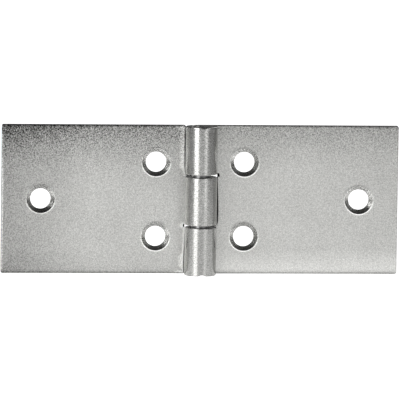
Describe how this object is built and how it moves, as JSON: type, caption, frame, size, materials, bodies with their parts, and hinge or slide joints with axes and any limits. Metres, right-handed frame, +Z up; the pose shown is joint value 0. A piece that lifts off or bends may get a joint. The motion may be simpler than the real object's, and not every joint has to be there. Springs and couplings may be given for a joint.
{
  "type": "back-flap hinge",
  "caption": "Wide rolled sheet-steel hinge for doors and flaps, opened flat: oblong leaves with countersunk screw holes, a slim rolled barrel and a staked pin.",
  "frame": {"origin": "middle of the pin's axis, which is the centre of the part's box when the hinge is opened flat", "axes": "+Z up the pin, +X out along the frame leaf, +Y out of the flat backs that are screwed down; the countersinks and the barrel face -Y"},
  "size_m": [0.08, 0.0064, 0.03],
  "materials": {
    "zinc_plated_sheet": "satin zinc plating with a fine matt grain, brighter on the rolled barrel",
    "pin_steel": "drawn steel wire, zinc plated"
  },
  "bodies": {
    "frame_side": {"frame_leaf": "zinc_plated_sheet", "hinge_pin": "pin_steel"},
    "door_side": {"door_leaf": "zinc_plated_sheet"}
  },
  "joints": [
    {"name": "leaf_fold", "type": "hinge", "parent": "frame_side", "child": "door_side", "pos_m": [0, 0, 0], "axis": [0, 0, 1], "range_deg": [-80, 180]}
  ]
}
